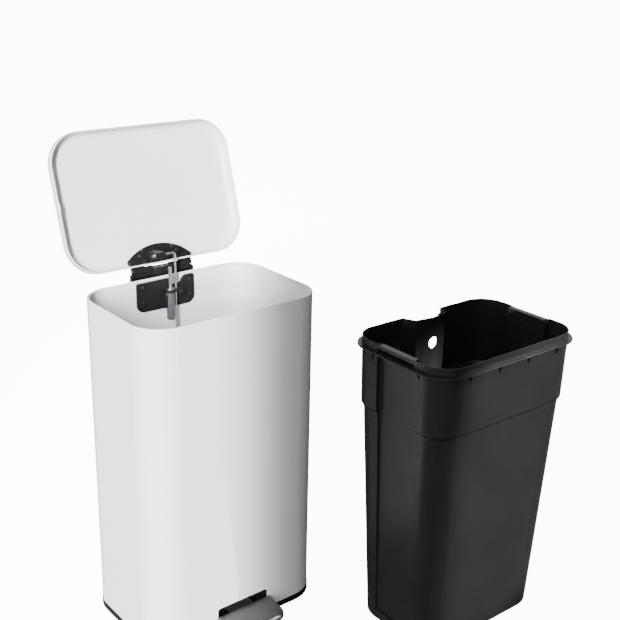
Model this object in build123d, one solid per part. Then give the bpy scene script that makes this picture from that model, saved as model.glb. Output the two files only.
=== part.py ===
from build123d import *
import os
from math import atan2, cos, degrees, hypot, radians, sin

# Pedal trash can with a soft-close lid and a lift-out bucket. Millimetres, +Z up, the front faces -Y,
# the origin is at the centre of the base on the floor. The rest pose has the lid open on its back stop,
# the pedal down, and the bucket standing on the floor beside the can.

# --- can body
can_w = 385.0            # outside width, along X
can_d = 265.0            # outside depth, along Y
can_r = 62.0             # plan corner radius
shell_t = 0.9            # sheet thickness
shell_low = 8.0          # bottom edge of the shell, inside the base ring
rim_z = 657.0            # top of the rolled rim
bead_h = 5.0             # height of the rolled rim
bead_w = 5.0             # width of the rolled rim
bead_fillet = 2.3
front_y = -can_d / 2
back_y = can_d / 2
wall_y = back_y - shell_t    # inner face of the back wall
seam_x = -112.0          # lap seam on the inner back wall
seam_w = 9.0
seam_t = 0.9
tab_size = 12.0          # fixing tabs at the shell's bottom edge
tab_places = [(-100, front_y, 1), (100, front_y, 1), (-100, back_y, -1), (100, back_y, -1)]

# --- base
ring_proud = 1.5         # base ring beyond the shell, each side
ring_z = 13.0            # top of the base ring
floor_low = 2.5
floor_top = 4.5
upstand_z = 26.0         # inner wall of the base that locates the shell
upstand_t = 2.4
foot_places = [(sx * 148, sy * 86) for sx in (-1, 1) for sy in (-1, 1)]
foot_r = 11.0
stem_r = 3.0
screw_r = 1.8

# --- pedal opening
slot_half = 58.5
slot_top = 56.0
slot_r = 6.0
frame_t = 2.0
frame_depth = 10.0

# --- lid hinge
hinge_y = 142.4
hinge_z = 672.0
lid_open = 107.3         # opening angle, degrees
pin_r = 3.0
knuckle_r = 6.2
knuckle_in = 40.0        # lid knuckles from here ...
knuckle_out = 66.0       # ... to here, each side
housing_half = 70.0
housing_low = 596.0
housing_top = 665.0
housing_back = 151.0
housing_t = 3.0
pin_gap_x = (-22.0, 16.0)    # stretch of bare pin in the middle

# --- lid, as it lies closed
lid_w = can_w + 4.0
lid_d = can_d + 4.0
lid_r = can_r + 2.0
lid_low = 660.0
lid_top = 681.5
lid_t = 1.0
lid_edge_r = 9.0
lip_h = 3.2
lip_w = 3.0
lid_back = lid_d / 2
lid_slot_z = (665.0, 677.2)

# --- bracket in the lid, as it lies closed
bracket_half = 69.0
bracket_reach = 38.0     # from the lid's back edge to the top of the half moon
bracket_step = 12.0      # straight part of the half moon's sides
bracket_t = 3.5
doubler_t = 1.2
leaf_low = 667.5
boss_r = 6.2
boss_x = (-27.5, -8.6)
bracket_screws_at = [(-42, 115), (42, 115), (-33, 106), (33, 106)]
bracket_top = lid_top - lid_t - doubler_t - 0.05     # face that lies on the doubler
doubler_w = 96.0
doubler_d = 26.0
doubler_y = 112.0

# --- soft pads under the lid's lip
pad_half = 6.0           # half of a pad's length
pad_x = 100.0            # places of the two front pads
pad_front_y = (-133.4, -131.6)
pad_side_x = (191.6, 193.4)
pad_low = rim_z + 0.35

# --- lift rod
rod_r = 2.25
rod_x = 15.0
rod_bend = 6.0
hook_y = 116.6           # hook in the lid's boss, with the lid open
hook_z = 703.9
hook_end_x = -36.0
foot_z = 84.0            # hook in the lever, with the lid open
foot_end_x = 0.5
clip_r = 4.6             # push-on clips of the hooks
run_gap = 0.06           # radial clearance of everything that turns

# --- hinge plate inside the back wall
plate_half = 65.0
plate_low = 590.0
plate_top = 650.0
plate_t = 4.0
plate_corner = 16.0
plate_front = wall_y - 0.1 - plate_t
rivet_x = 52.5
rivet_z = (611.0, 642.0)
rivet_r = 2.0
guide_z = (626.4, 630.6)
guide_y = (98.2, 123.4)  # ends of the guide's long slot
guide_half = 2.65
guide_wall = 2.4

# --- damper
damper_x = 1.0
damper_y = 113.4
damper_r = 8.0
damper_low = 570.0
damper_top = 626.0
gland_r = 8.3
gland_top = 632.5
ring_top = 634.5
piston_r = 3.5
piston_top = 678.0
damper_stroke = 43.0

# --- pedal lever
pivot_y = -97.0
pivot_z = 38.0
axle_r = 4.0
axle_half = 44.0
hub_r = 9.0
arm_x = (5.0, 9.0)
arm_slot_y = (98.0, 123.6)   # long slot of the lever, as it lies with the lid closed
arm_slot_z = (13.4, 25.6)
neck_half = 28.0
neck_t = 4.0
block_x = (29.0, 40.0)
block_screws_at = [(sx * sum(block_x) / 2, pivot_y + dy) for sx in (-1, 1) for dy in (-17, 17)]
pedal_tilt = 5.0
pedal_w = 130.0
pedal_len = 62.0
pedal_y = -136.0
pedal_z = 41.0
pedal_h = 13.0
pedal_r = 24.0
pedal_round = 9.0        # rounding of the tread's front and sides
cap_t = 1.5
pad_h = 15.5

# --- bucket, in its own frame with its base at z = 0
bucket_x = 372.0
bucket_y = -330.0
bucket_t = 2.2
flange_w = 381.0
flange_d = 261.0
flange_r = 61.0
flange_low = 582.5
flange_t = 2.5
bucket_top = 600.5
rim_inset = 9.0          # flange beyond the wall
band_low = 467.0         # bottom of the wide upper band
step_h = 6.0
step_in = 5.0
bucket_base_w = 308.0
bucket_base_d = 198.0
bucket_base_r = 45.0
recess_depth = 31.0
recess_half = 50.0
recess_floor_half = 37.0
grip_half = 47.0
grip_depth = 12.0
grip_low = 540.0
grip_shelf = 2.4         # flat top of the grip
grip_lip = 8.0           # outer lip of the grip, below the top
vent_r = 12.0
vent_x = 4.0
vent_z = 548.0
gusset_h = 18.0
gusset_out = 7.0
gusset_t = 2.4


def slab(width, depth, radius, low, high):
    """Upright prism with a rounded-rectangle section between two heights."""
    return Pos(0, 0, low) * extrude(RectangleRounded(width, depth, radius), amount=high - low)


def block(x0, x1, y0, y1, z0, z1):
    """Box between two corners."""
    return Pos((x0 + x1) / 2, (y0 + y1) / 2, (z0 + z1) / 2) * Box(x1 - x0, y1 - y0, z1 - z0)


def along_x(radius, x0, x1, y, z):
    """Cylinder along X."""
    return Pos((x0 + x1) / 2, y, z) * Rot(0, 90, 0) * Cylinder(radius, x1 - x0)


def along_y(radius, y0, y1, x, z):
    """Cylinder along Y."""
    return Pos(x, (y0 + y1) / 2, z) * Rot(90, 0, 0) * Cylinder(radius, y1 - y0)


def along_z(radius, z0, z1, x, y):
    """Upright cylinder."""
    return Pos(x, y, (z0 + z1) / 2) * Cylinder(radius, z1 - z0)


def side_plate(sketch, x0, x1):
    """Sketch in (y, z), thickened along X."""
    return Pos(x0, 0, 0) * extrude(Plane.YZ * sketch, amount=x1 - x0)


def wall_plate(sketch, y0, y1):
    """Sketch in (x, z), thickened along Y."""
    return Pos(0, y1, 0) * extrude(Plane.XZ * sketch, amount=y1 - y0)


def outline(points):
    """Closed straight-sided face."""
    return make_face(Polyline(*points, close=True))


def open_lid(shape):
    """Turn a piece from the closed lid's place to the open one."""
    return shape.rotate(Axis((0, hinge_y, hinge_z), (1, 0, 0)), -lid_open)


def hook_closed():
    """Hook's place with the lid closed, (y, z)."""
    dy = hook_y - hinge_y
    dz = hook_z - hinge_z
    turn = radians(lid_open)
    return hinge_y + dy * cos(turn) - dz * sin(turn), hinge_z + dy * sin(turn) + dz * cos(turn)


def lever_swing():
    """Turn of the lever between the closed and the open lid, degrees."""
    closed_y, closed_z = hook_closed()
    drop = hook_z - closed_z
    up = atan2(foot_z - pivot_z, hook_y - pivot_y)
    down = atan2(foot_z - drop - pivot_z, closed_y - pivot_y)
    return degrees(up - down)


def body_shell():
    """Painted sheet shell with a rolled rim, the pedal cut-out, seam, tabs and rivet holes."""
    top = rim_z - bead_h
    wall = slab(can_w, can_d, can_r, shell_low, top)
    wall -= slab(can_w - 2 * shell_t, can_d - 2 * shell_t, can_r - shell_t, shell_low, top)
    bead = slab(can_w, can_d, can_r, top, rim_z)
    bead -= slab(can_w - 2 * bead_w, can_d - 2 * bead_w, can_r - bead_w, top, rim_z)
    faces = bead.faces().sort_by(Axis.Z)
    bead = fillet(faces[-1].edges() + faces[0].inner_wires()[0].edges(), bead_fillet)
    shell = wall + bead
    shell += block(seam_x - seam_w / 2, seam_x + seam_w / 2, wall_y - seam_t, wall_y + 0.2, 30, top - 2)
    for x, y, inward in tab_places:
        y0, y1 = sorted((y + inward * shell_t / 2, y + inward * (shell_t + tab_size)))
        shell += block(x - tab_size / 2, x + tab_size / 2, y0, y1, shell_low, shell_low + shell_t)
        shell -= along_z(screw_r + 0.05, 0, 20, x, y + inward * (shell_t + tab_size / 2))
    height = slot_top + 30
    slot = Pos(0, slot_top - height / 2) * RectangleRounded(2 * slot_half, height, slot_r)
    shell -= wall_plate(slot, front_y - 5, front_y + 5)
    for x in (-rivet_x, rivet_x):
        for z in rivet_z:
            shell -= along_y(rivet_r + 0.05, wall_y - 5, back_y + 5, x, z)
    return shell


def base_tray():
    """Moulded base: outer ring, floor, inner upstand with a gap for the lever, ribs and holes."""
    ring_w = can_w + 2 * ring_proud
    ring_d = can_d + 2 * ring_proud
    ring_r = can_r + ring_proud
    tray = slab(ring_w, ring_d, ring_r, 0, ring_z)
    outer_edge = tray.faces().sort_by(Axis.Z)[-1].edges()
    tray = fillet(outer_edge, 1.2)
    gap = 0.2
    tray -= slab(can_w + 2 * gap, can_d + 2 * gap, can_r + gap, shell_low, ring_z + 1)
    inner_w = can_w - 2 * (shell_t + gap)
    inner_d = can_d - 2 * (shell_t + gap)
    inner_r = can_r - shell_t - gap
    tray += slab(inner_w, inner_d, inner_r, shell_low - 1, upstand_z)
    cup = 2 * upstand_t
    tray -= slab(inner_w - cup, inner_d - cup, inner_r - upstand_t, floor_top, upstand_z + 1)
    land = 16.0
    tray -= slab(ring_w - 2 * land, ring_d - 2 * land, ring_r - land, -1, floor_low)
    for x in (-120, -60, 60, 120):
        tray += block(x - 1, x + 1, -100, 100, floor_top - 0.5, floor_top + 5)
    for x, y, inward in tab_places:
        y0, y1 = sorted((y + inward * (shell_t - 0.5), y + inward * (shell_t + tab_size + 1)))
        tray -= block(x - tab_size / 2 - 1, x + tab_size / 2 + 1, y0, y1, shell_low, upstand_z + 1)
        yc = y + inward * (shell_t + tab_size / 2)
        tray += along_z(5.5, floor_low, shell_low, x, yc)
        tray -= along_z(screw_r + 0.05, -1, shell_low + 1, x, yc)
        tray -= along_z(4.0, -1, 2.6, x, yc)
    half = slot_half + 5
    tray -= block(-half, half, front_y - 1, front_y + frame_depth + 1, ring_z, upstand_z + 1)
    tray -= block(arm_x[0] - 4, arm_x[1] + 4, back_y - 8, back_y - shell_t - 0.2, floor_top, upstand_z + 1)
    for x, y in block_screws_at:
        tray -= along_z(screw_r + 0.05, 0, 10, x, y)
    for x, y in foot_places:
        tray -= along_z(stem_r + 0.1, 0, 10, x, y)
    return tray


def base_feet():
    """Push-in rubber feet, level with the ring's underside."""
    feet = []
    for x, y in foot_places:
        foot = along_z(foot_r, 0, floor_low - 0.05, x, y)
        foot = chamfer(foot.faces().sort_by(Axis.Z)[0].edges(), 0.6)
        foot += along_z(stem_r, floor_low - 0.5, floor_top + 3, x, y)
        foot += along_z(stem_r + 1.6, floor_top + 0.05, floor_top + 2, x, y)
        feet.append(foot)
    return feet


def base_screws():
    """Screws up through the base into the shell's tabs."""
    screws = []
    for x, y, inward in tab_places:
        yc = y + inward * (shell_t + tab_size / 2)
        screws.append(along_z(3.6, 0.6, 2.5, x, yc) + along_z(screw_r, 2.0, 13, x, yc))
    return screws


def slot_frame():
    """Plastic frame that lines the pedal opening from inside the shell."""
    low = ring_z + 0.2
    gap = 0.15
    height = slot_top - low
    y0 = front_y + 0.3
    y1 = y0 + frame_depth
    grow = 40.0
    centre = Pos(0, slot_top - gap - (height + grow) / 2)
    outer = centre * RectangleRounded(2 * (slot_half - gap), height + grow, slot_r)
    inner = centre * RectangleRounded(2 * (slot_half - frame_t), height + grow - 2 * frame_t, slot_r - frame_t)
    lining = wall_plate(outer, y0, y1) - wall_plate(inner, y0 - 1, y1 + 1)
    lip = wall_plate(centre * RectangleRounded(2 * (slot_half + 4), height + grow + 8, slot_r + 4),
                     front_y + shell_t + 0.1, front_y + shell_t + 2.1)
    lip -= wall_plate(inner, y0 - 1, y1 + 1)
    return (lining + lip) - block(-90, 90, front_y - 5, front_y + 30, -60, low)


def hinge_plate():
    """Plate riveted inside the back wall, round at its lower corners and notched at the top."""
    height = plate_top - plate_low
    mid = (plate_top + plate_low) / 2
    face = Pos(0, mid) * RectangleRounded(2 * plate_half, height, plate_corner)
    face += Pos(0, plate_top - 14) * RectangleRounded(2 * plate_half, 28, 4)
    notch_x = 34.0
    notch_r = 13.0
    face -= Pos(20, plate_top) * RectangleRounded(28, 28, 6)
    corner = Pos(notch_x + notch_r / 2 - 0.5, plate_top - notch_r / 2 + 0.5) * Rectangle(notch_r + 1, notch_r + 1)
    corner -= Pos(notch_x + notch_r, plate_top - notch_r) * Circle(notch_r)
    face -= corner
    plate = wall_plate(face, plate_front, plate_front + plate_t)
    front = plate.faces().sort_by(Axis.Y)[0]
    plate = fillet(front.edges(), 0.8)
    for x in (-rivet_x, rivet_x):
        for z in rivet_z:
            plate -= along_y(rivet_r + 0.05, plate_front - 1, wall_y, x, z)
    return plate


def hinge_housing():
    """Hinge body behind the back wall, open below, with its two knuckles above the rim."""
    near = back_y + 0.1
    lip_y = back_y + 4.3
    body = block(-housing_half, housing_half, near, housing_back, housing_low, housing_top)
    body = fillet(body.edges().filter_by(Axis.Z).group_by(Axis.Y)[-1], 8)
    body = fillet(body.faces().sort_by(Axis.Z)[-1].edges().group_by(Axis.Y)[-1], 3)
    inside = housing_half - housing_t
    body -= block(-inside, inside, near + 4, housing_back - housing_t, housing_low - 1, housing_top - 4)
    body -= block(-90, 90, near - 1, lip_y, rim_z - 3, housing_top + 1)
    for x0, x1 in ((-39.6, pin_gap_x[0]), (pin_gap_x[1], 39.6)):
        arm = block(x0, x1, hinge_y - 5, hinge_y + 5.4, housing_top - 5, hinge_z)
        body += arm + along_x(knuckle_r, x0, x1, hinge_y, hinge_z)
    x0, x1 = pin_gap_x
    body += block(x0 - 1, x1 + 1, hinge_y - 6, hinge_y + 5.4, housing_top - 5, hinge_z - 3.6)
    body += block(x0 - 1, x1 + 1, hinge_y - 6, hinge_y - 3.8, hinge_z - 4, hinge_z - 0.5)
    body += block(x0 - 1, x1 + 1, hinge_y + 3.8, hinge_y + 5.4, hinge_z - 4, hinge_z + 3)
    body -= along_x(pin_r + run_gap, -80, 80, hinge_y, hinge_z)
    for x in (-rivet_x, rivet_x):
        for z in rivet_z:
            body -= along_y(rivet_r + 0.05, near - 1, near + 5, x, z)
    return body


def hinge_rivets():
    """Round-head rivets through plate, wall and housing."""
    rivets = []
    for x in (-rivet_x, rivet_x):
        for z in rivet_z:
            rivet = along_y(rivet_r, plate_front - 0.5, back_y + 5.4, x, z)
            head = along_y(2.8, plate_front - 1.4, plate_front - 0.02, x, z)
            head = fillet(head.faces().sort_by(Axis.Y)[0].edges(), 1.1)
            rivets.append(rivet + head + along_y(3.2, back_y + 4.15, back_y + 5.4, x, z))
    return rivets


def hinge_pin():
    """Steel pin through all knuckles, domed at its ends."""
    pin = along_x(pin_r, -knuckle_out - 1.5, knuckle_out + 1.5, hinge_y, hinge_z)
    return chamfer(pin.edges().filter_by(GeomType.CIRCLE), 0.8)


def rod_guide():
    """Loop on the hinge plate with a long slot that the lift rod runs through."""
    x0 = rod_x - guide_half - guide_wall
    x1 = rod_x + guide_half + guide_wall
    front = guide_y[0] - guide_wall
    length = plate_front - front
    plan = Pos(rod_x, front + length / 2 + 4) * RectangleRounded(x1 - x0, length + 8, 5)
    plan &= Pos(rod_x, front + length / 2 - 0.01) * Rectangle(60, length)
    slot_len = guide_y[1] - guide_y[0]
    plan -= Pos(rod_x, sum(guide_y) / 2) * RectangleRounded(2 * guide_half, slot_len, guide_half - 0.02)
    loop = Pos(0, 0, guide_z[0]) * extrude(plan, amount=guide_z[1] - guide_z[0])
    gusset = outline([(plate_front - 0.01, guide_z[0] - 9), (plate_front - 0.01, guide_z[0] + 0.2),
                      (plate_front - 2.4, guide_z[0] + 0.2)])
    return loop + side_plate(gusset, x0, x1)


def damper_holder():
    """Saddle on the hinge plate that grips the damper."""
    x0 = damper_x - damper_r - 5.5
    x1 = damper_x + damper_r + 0.5
    saddle = block(x0, x1, damper_y - 2.5, plate_front, 596, 621)
    saddle = fillet(saddle.edges().filter_by(Axis.Z).group_by(Axis.Y)[0], 0.6)
    return saddle - along_z(damper_r + 0.1, 590, 630, damper_x, damper_y)


def damper_cylinder():
    """Damper barrel."""
    barrel = along_z(damper_r, damper_low + 4, damper_top, damper_x, damper_y)
    return barrel - along_z(damper_r - 1, damper_low + 3, damper_top + 1, damper_x, damper_y)


def damper_cap():
    """Round lower end of the damper."""
    cap = along_z(damper_r, damper_low, damper_low + 4, damper_x, damper_y)
    cap = fillet(cap.faces().sort_by(Axis.Z)[0].edges(), 2.5)
    return cap + along_z(damper_r - 1.05, damper_low + 3, damper_low + 6, damper_x, damper_y)


def damper_gland():
    """Collar that closes the barrel round the piston rod."""
    collar = along_z(gland_r, damper_top, gland_top, damper_x, damper_y)
    collar += along_z(damper_r - 1.05, damper_top - 3, damper_top + 1, damper_x, damper_y)
    return collar - along_z(piston_r + run_gap, damper_top - 5, gland_top + 1, damper_x, damper_y)


def damper_ring():
    """Bright retaining ring on the gland."""
    ring = along_z(damper_r + 1.0, gland_top, ring_top, damper_x, damper_y)
    ring = fillet(ring.faces().sort_by(Axis.Z)[-1].edges(), 0.6)
    return ring - along_z(piston_r + run_gap, gland_top - 1, ring_top + 1, damper_x, damper_y)


def damper_rod():
    """Piston rod with its piston inside the barrel."""
    piston_low = damper_low + 6.5 + damper_stroke
    rod = along_z(piston_r, piston_low, piston_top, damper_x, damper_y)
    rod = fillet(rod.faces().sort_by(Axis.Z)[-1].edges(), 1.2)
    return rod + along_z(damper_r - 1 - run_gap, piston_low, piston_low + 2.5, damper_x, damper_y)


def lid_pan():
    """Shallow pan with a rolled lip and a slot in its back skirt for the hinge leaf."""
    pan = slab(lid_w, lid_d, lid_r, lid_low, lid_top)
    pan = fillet(pan.faces().sort_by(Axis.Z)[-1].edges(), lid_edge_r)
    hollow = slab(lid_w - 2 * lid_t, lid_d - 2 * lid_t, lid_r - lid_t, lid_low - 2, lid_top - lid_t)
    hollow = fillet(hollow.faces().sort_by(Axis.Z)[-1].edges(), lid_edge_r - lid_t)
    pan -= hollow
    lip = slab(lid_w - 0.4, lid_d - 0.4, lid_r - 0.2, lid_low, lid_low + lip_h)
    lip -= slab(lid_w - 2 * lip_w, lid_d - 2 * lip_w, lid_r - lip_w, lid_low - 1, lid_low + lip_h + 1)
    faces = lip.faces().sort_by(Axis.Z)
    lip = fillet(faces[-1].inner_wires()[0].edges() + faces[0].inner_wires()[0].edges(), 1.3)
    pan += lip
    half = bracket_half - 0.4
    pan -= block(-half, half, lid_back - 3, lid_back + 2, *lid_slot_z)
    return open_lid(pan)


def lid_doubler():
    """Steel plate that stiffens the pan where the bracket is screwed on."""
    under = lid_top - lid_t
    plate = slab(doubler_w, doubler_d, 6, under - doubler_t, under - 0.02)
    return open_lid(Pos(0, doubler_y, 0) * plate)


def lid_bracket():
    """Half-moon bracket with its hinge leaf, two knuckles, ribs and the boss for the lift rod."""
    low = bracket_top - bracket_t
    near = lid_back - 5.5
    apex = lid_back - bracket_reach
    side = lid_back - bracket_step
    arc = ThreePointArc((-bracket_half, side), (0, apex), (bracket_half, side))
    sides = Polyline((bracket_half, side), (bracket_half, near), (-bracket_half, near), (-bracket_half, side))
    bracket = Pos(0, 0, low) * extrude(make_face(arc + sides), amount=bracket_t)
    half = bracket_half - 1
    bracket += block(-half, half, near - 5, hinge_y - knuckle_r - 0.8, leaf_low, low + 0.5)
    for s in (-1, 1):
        x0, x1 = sorted((s * knuckle_in, s * knuckle_out))
        bracket += block(x0, x1, near - 2, hinge_y, leaf_low, 676.6)
        bracket += along_x(knuckle_r, x0, x1, hinge_y, hinge_z)
        rib = outline([(near - 4, leaf_low + 0.5), (near - 4, low + 0.5), (near - 6.8, low + 0.5)])
        bracket += side_plate(rib, s * 57 - 1.5, s * 57 + 1.5)
    hy, hz = hook_closed()
    ear = outline([(hy - boss_r, hz), (hy - boss_r - 6, low + 0.5), (near, low + 0.5), (hy + boss_r, hz)])
    ear += Pos(hy, hz) * Circle(boss_r)
    bracket += side_plate(ear, *boss_x)
    bracket -= along_x(rod_r + run_gap, -80, 80, hy, hz)
    bracket -= along_x(pin_r + run_gap, -80, 80, hinge_y, hinge_z)
    for x, y in bracket_screws_at:
        bracket -= along_z(screw_r + 0.05, low - 1, lid_top, x, y)
    return open_lid(bracket)


def bracket_screws():
    """Screws from the bracket into the doubler."""
    low = bracket_top - bracket_t
    screws = []
    for x, y in bracket_screws_at:
        head = along_z(3.4, low - 2.0, low - 0.02, x, y)
        head = fillet(head.faces().sort_by(Axis.Z)[0].edges(), 1.0)
        screws.append(open_lid(head + along_z(screw_r, low - 0.5, bracket_top, x, y)))
    return screws


def lid_bumpers():
    """Rubber pads under the lip that meet the can's rim."""
    pads = []
    high = lid_low - 0.02
    for s in (-1, 1):
        x = s * pad_x
        pads.append(open_lid(block(x - pad_half, x + pad_half, *pad_front_y, pad_low, high)))
        x0, x1 = sorted((s * pad_side_x[0], s * pad_side_x[1]))
        pads.append(open_lid(block(x0, x1, -pad_half, pad_half, pad_low, high)))
    return pads


def lift_rod():
    """Steel wire rod, hooked at both ends."""
    path = FilletPolyline((hook_end_x, hook_y, hook_z), (rod_x, hook_y, hook_z), (rod_x, hook_y, foot_z),
                          (foot_end_x, hook_y, foot_z), radius=rod_bend)
    return sweep(Plane(origin=path @ 0, z_dir=path % 0) * Circle(rod_r), path=path)


def rod_clips():
    """Push-on clips that keep the hooks in their holes."""
    clips = []
    for x, z in ((boss_x[0] - 2.2, hook_z), (arm_x[0] - 2.0, foot_z)):
        clip = along_x(clip_r, x - 0.7, x + 0.7, hook_y, z) - along_x(rod_r + 0.02, x - 2, x + 2, hook_y, z)
        clips.append(clip)
    return clips


def arm_profile():
    """Side outline of the rear arm as it lies with the lid closed: hub, low run, slotted end."""
    face = Pos(pivot_y, pivot_z) * Circle(hub_r)
    face += outline([(pivot_y - 7, pivot_z - 5), (-72, 9), (-60, 8.6), (-60, 19.5), (pivot_y + 6, pivot_z + 6)])
    face += outline([(-61, 8.6), (100, 8.6), (100, 19.5), (-61, 19.5)])
    end_z = sum(arm_slot_z) / 2
    end_h = arm_slot_z[1] - arm_slot_z[0] + 9.4
    end_len = arm_slot_y[1] - arm_slot_y[0] + 9.4
    face += Pos(sum(arm_slot_y) / 2, end_z) * RectangleRounded(end_len, end_h, 6)
    slot_len = arm_slot_y[1] - arm_slot_y[0]
    slot_h = arm_slot_z[1] - arm_slot_z[0]
    return face - Pos(sum(arm_slot_y) / 2, end_z) * RectangleRounded(slot_len, slot_h, 4)


def on_pedal(shape):
    """Place a piece made flat, with the tread's rear top edge at the origin, on the pedal."""
    return Pos(0, pedal_y, pedal_z) * Rot(pedal_tilt, 0, 0) * shape


def pedal_lever():
    """Lever: hub on the axle, neck to the tread, and the rear arm with its long slot."""
    arm = side_plate(arm_profile(), *arm_x).rotate(Axis((0, pivot_y, pivot_z), (1, 0, 0)), lever_swing())
    hub = along_x(hub_r, -neck_half, neck_half, pivot_y, pivot_z)
    top = -cap_t - 6.0
    neck = on_pedal(block(-neck_half, neck_half, -52, 36, top - neck_t, top))
    lever = arm + hub + neck
    return lever - along_x(axle_r + run_gap, -60, 60, pivot_y, pivot_z)


def tread_plan(inset):
    """Plan of the tread: straight at the back, round at its front corners."""
    extra = pedal_r
    full = Pos(0, (extra - pedal_len) / 2) * RectangleRounded(
        pedal_w - 2 * inset, pedal_len + extra - 2 * inset, pedal_r - inset)
    return full & Pos(0, -100) * Rectangle(300, 200)


def tread_block(inset, low, top, edge):
    """Solid of the tread's plan with its front and side top edges rounded."""
    solid = Pos(0, 0, low) * extrude(tread_plan(inset), amount=top - low)
    edges = solid.faces().sort_by(Axis.Z)[-1].edges().filter_by(lambda e: e.center().Y < -1)
    return fillet(edges, edge)


def pedal_cap():
    """Steel tread cap."""
    cap = tread_block(0, -pedal_h, 0, pedal_round)
    cap -= tread_block(cap_t, -pedal_h - 1, -cap_t, pedal_round - cap_t)
    return on_pedal(cap)


def pedal_pad():
    """Plastic body of the pedal inside the cap, with the channel for the lever's neck."""
    gap = 0.1
    pad = tread_block(cap_t + gap, -pad_h, -cap_t - gap, pedal_round - cap_t - gap)
    top = -cap_t - 5.9
    pad -= block(-neck_half - 0.2, neck_half + 0.2, -52.2, 1, top - neck_t - 0.2, top)
    for x in (-15, 15):
        pad -= along_z(screw_r + 0.05, -pad_h - 1, -3.6, x, -30)
        pad -= along_z(3.8, -pad_h - 1, -pad_h + 2, x, -30)
    return on_pedal(pad)


def neck_holes():
    """Drillings of the two pedal screws through the lever's neck."""
    return [on_pedal(along_z(screw_r + 0.05, -pad_h, -3, x, -30)) for x in (-15, 15)]


def pedal_screws():
    """Screws that hold the pedal's body on the lever."""
    screws = []
    for x in (-15, 15):
        screws.append(on_pedal(along_z(screw_r, -pad_h + 1, -3.8, x, -30)
                               + along_z(3.5, -pad_h + 0.2, -pad_h + 1.9, x, -30)))
    return screws


def bearing_blocks():
    """Two plastic blocks that carry the lever's axle."""
    blocks = []
    for s in (-1, 1):
        x0, x1 = sorted((s * block_x[0], s * block_x[1]))
        foot = block(x0, x1, pivot_y - 20, pivot_y + 20, floor_top + 0.02, floor_top + 4)
        post = outline([(pivot_y - 14, floor_top + 3), (pivot_y + 14, floor_top + 3), (pivot_y + 9, pivot_z),
                        (pivot_y - 9, pivot_z)])
        post += Pos(pivot_y, pivot_z) * Circle(9)
        piece = foot + side_plate(post, x0, x1) - along_x(axle_r + 0.02, -60, 60, pivot_y, pivot_z)
        for x, y in block_screws_at:
            piece -= along_z(screw_r + 0.05, 0, 20, x, y)
        blocks.append(piece)
    return blocks


def block_screws():
    """Screws of the bearing blocks."""
    screws = []
    for x, y in block_screws_at:
        head = along_z(3.2, floor_top + 4.02, floor_top + 6, x, y)
        screws.append(head + along_z(screw_r, floor_low + 0.2, floor_top + 5, x, y))
    return screws


def lever_axle():
    """Steel axle of the lever."""
    return along_x(axle_r, -axle_half, axle_half, pivot_y, pivot_z)


def axle_clips():
    """Push-on clips at the axle's ends."""
    clips = []
    for s in (-1, 1):
        x = s * (block_x[1] + 1.2)
        ring = along_x(7, x - 0.6, x + 0.6, pivot_y, pivot_z)
        clips.append(ring - along_x(axle_r + 0.02, x - 2, x + 2, pivot_y, pivot_z))
    return clips


def lever_bumper():
    """Rubber pad on the floor under the rear arm."""
    return block(arm_x[0] - 6, arm_x[1] + 6, 50, 66, floor_top + 0.02, 8.2)


def tapered(w0, d0, r0, z0, w1, d1, r1, z1):
    """Solid between two rounded rectangles at two heights."""
    low = Pos(0, 0, z0) * RectangleRounded(w0, d0, r0)
    high = Pos(0, 0, z1) * RectangleRounded(w1, d1, r1)
    return loft([low, high], ruled=True)


def bucket_body(inset, low, high):
    """Bucket's outside, or its inside when inset by the wall."""
    wall_w = flange_w - 2 * rim_inset - 2 * inset
    wall_d = flange_d - 2 * rim_inset - 2 * inset
    wall_r = flange_r - rim_inset - inset
    neck = 6.0
    band = tapered(wall_w - neck, wall_d - neck, wall_r - neck / 2, band_low, wall_w, wall_d, wall_r, high)
    waist_w = wall_w - neck - 2 * step_in
    waist_d = wall_d - neck - 2 * step_in
    waist_r = wall_r - neck / 2 - step_in
    waist_z = band_low - step_h
    step = tapered(waist_w, waist_d, waist_r, waist_z, wall_w - neck, wall_d - neck, wall_r - neck / 2, band_low)
    base_w = bucket_base_w - 2 * inset
    base_d = bucket_base_d - 2 * inset
    base_r = bucket_base_r - inset
    lower = tapered(base_w, base_d, base_r, low, waist_w, waist_d, waist_r, waist_z)
    lower = fillet(lower.faces().sort_by(Axis.Z)[0].edges(), 9.0)
    return lower + step + band


def recess_plan(grow, back, depth):
    """Plan of the back recess, for a wall at y = back."""
    floor_y = back - depth - grow
    reach = 60.0
    slope = (recess_half - recess_floor_half) / depth
    side = grow * hypot(1, slope) - grow * slope
    x_floor = recess_floor_half + side
    x_far = x_floor + (depth + grow + reach) * slope
    points = [(-x_floor, floor_y), (x_floor, floor_y), (x_far, back + reach), (-x_far, back + reach)]
    plan = outline(points)
    return fillet(plan.vertices().group_by(Axis.Y)[0], 14.0 + grow)


def bucket_recess(grow):
    """Recess down the back wall that clears the rod and the damper."""
    top_back = flange_d / 2 - rim_inset
    base_back = bucket_base_d / 2
    low = Pos(0, 0, -5) * recess_plan(grow, base_back, recess_depth - 8)
    high = Pos(0, 0, bucket_top + 5) * recess_plan(grow, top_back, recess_depth)
    return loft([low, high], ruled=True)


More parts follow.
